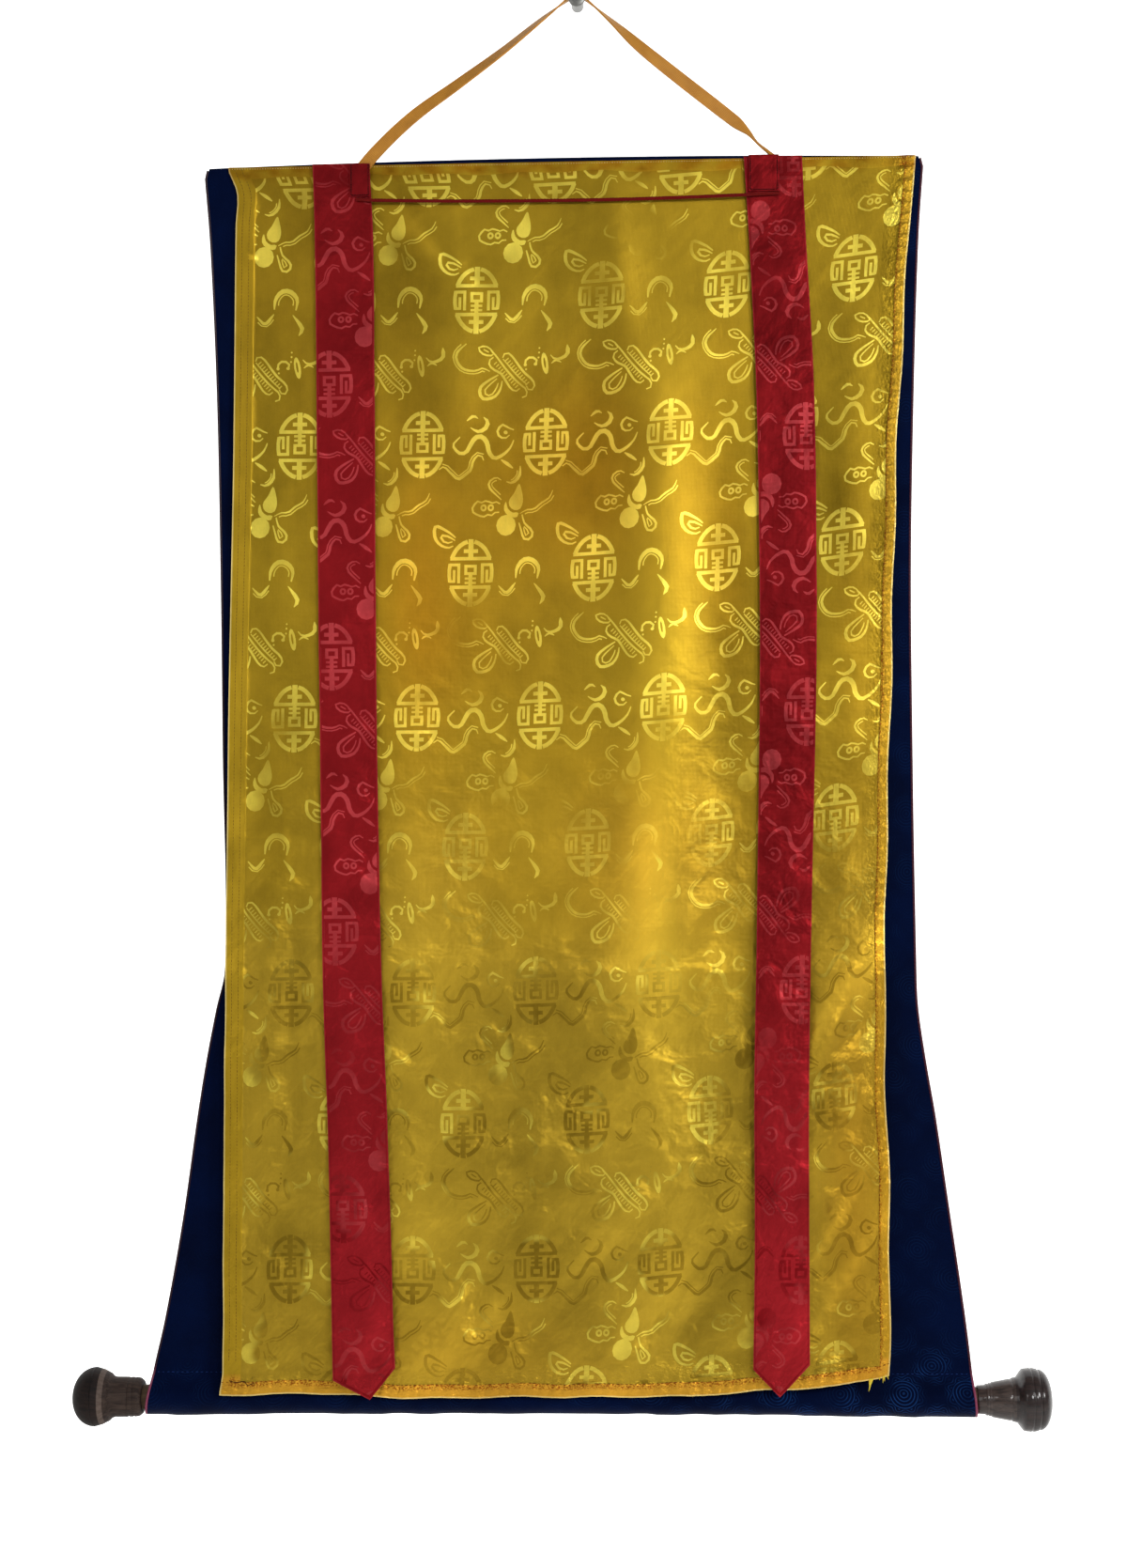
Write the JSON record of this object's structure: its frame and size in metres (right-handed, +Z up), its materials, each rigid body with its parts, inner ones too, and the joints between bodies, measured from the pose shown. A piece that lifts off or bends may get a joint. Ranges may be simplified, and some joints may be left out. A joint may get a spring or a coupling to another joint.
{
  "type": "thangka scroll painting with its rod and wall nail",
  "caption": "Brocade-mounted scroll with a lowered silk cover, pointed red ribbons and a rod with turned knobs, hung by a tape from a wall nail.",
  "frame": {"origin": "middle of the nail's flat end, where it meets the wall", "axes": "+Z up, +Y into the wall along the nail, +X to the right seen from the front"},
  "size_m": [0.6456, 0.0419, 0.9505],
  "materials": {
    "grey_steel": "plain drawn steel",
    "gold_tape": "woven flat tape",
    "navy_brocade": "navy self-patterned brocade",
    "red_piping": "folded satin piping",
    "pale_wood": "bare round stick",
    "dark_wood": "turned, dark stained and varnished",
    "gold_damask": "silky satin damask with a woven figure",
    "red_damask": "silky satin damask with a woven figure",
    "dark_red_cord": "thin twisted cord"
  },
  "bodies": {
    "root": {"wall_nail": "grey_steel", "hanging_tape": "gold_tape", "mount_cloth": "navy_brocade", "piping_left": "red_piping", "piping_right": "red_piping", "rod": "pale_wood", "knob_left": "dark_wood", "knob_right": "dark_wood", "cover": "gold_damask", "ribbon_left": "red_damask", "ribbon_right": "red_damask", "tab_left": "red_damask", "tab_right": "red_damask", "tie_cord": "dark_red_cord"}
  },
  "joints": []
}
